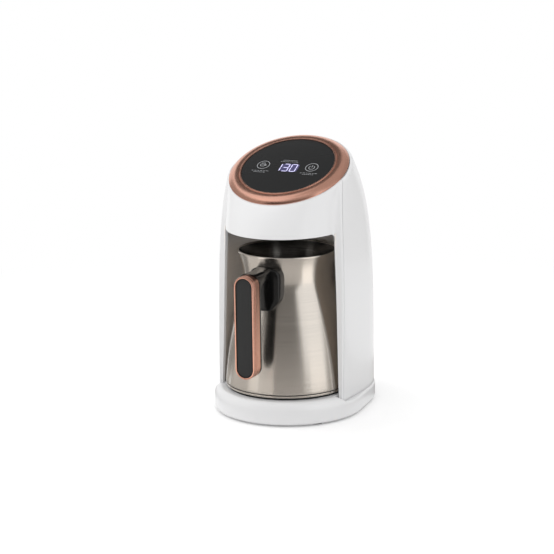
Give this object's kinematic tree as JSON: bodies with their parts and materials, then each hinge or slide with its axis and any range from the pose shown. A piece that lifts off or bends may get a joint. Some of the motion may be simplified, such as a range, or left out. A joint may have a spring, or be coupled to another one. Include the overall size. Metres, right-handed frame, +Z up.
{
  "type": "electric turkish coffee maker",
  "caption": "Compact electric Turkish coffee maker: domed housing with a slanted round touch panel, heated base and a lift-out steel jug with an upright grip.",
  "frame": {"origin": "middle of the whole machine's footprint, on the table", "axes": "+Z up, -Y towards the user: the jug's grip points to -Y"},
  "size_m": [0.117, 0.1624, 0.2078],
  "materials": {
    "bay_steel": "brushed",
    "black_gloss": "gloss",
    "black_plastic": "matte",
    "capacitor_case": "matte",
    "circuit_board": "matte",
    "display_black": "matte",
    "foot_rubber": "matte",
    "grey_plastic": "matte",
    "grip_charcoal": "soft matte",
    "inner_steel": "satin",
    "jug_base_steel": "brushed",
    "jug_steel": "brushed",
    "panel_glass": "gloss black",
    "plate_metal": "satin",
    "relay_case": "matte",
    "rose_metal": "satin rose gold",
    "screw_steel": "satin",
    "seal_rubber": "matte",
    "sensor_lens": "gloss",
    "terminal_plastic": "matte",
    "transformer_core": "matte",
    "white_shell": "gloss",
    "wire_cover": "matte"
  },
  "bodies": {
    "machine": {"base_cover": "grey_plastic", "base_housing": "white_shell", "base_screws": "screw_steel", "bay_ceiling": "black_plastic", "bay_liner": "bay_steel", "bezel_ring": "rose_metal", "board_rack": "grey_plastic", "board_screws": "screw_steel", "buzzer": "black_plastic", "control_board": "circuit_board", "control_panel": "panel_glass", "cord_gland": "grey_plastic", "display_module": "display_black", "element_clamp": "inner_steel", "filter_capacitor": "capacitor_case", "foam_sensor": "sensor_lens", "front_frame": "white_shell", "heater_leads": "wire_cover", "heater_tray": "inner_steel", "heating_element": "inner_steel", "hotplate": "plate_metal", "hotplate_seal": "seal_rubber", "housing_screws": "screw_steel", "panel_carrier": "black_plastic", "panel_loom": "wire_cover", "plate_thermostat": "inner_steel", "power_board": "circuit_board", "rack_screws": "screw_steel", "rear_housing": "white_shell", "relay": "relay_case", "rubber_feet": "foot_rubber", "terminal_block": "terminal_plastic", "thermal_fuse": "inner_steel", "touch_springs": "inner_steel", "transformer": "transformer_core"},
    "jug": {"jug_shell": "jug_steel", "jug_base": "jug_base_steel", "handle_bracket": "black_gloss", "handle_core": "black_gloss", "handle_trim": "rose_metal", "grip_insert": "grip_charcoal", "handle_screw": "screw_steel"}
  },
  "joints": [
    {"name": "jug_out", "type": "slide", "parent": "machine", "child": "jug", "axis": [0, -0.9969, 0.0785], "range_m": [0, 0.13]}
  ]
}
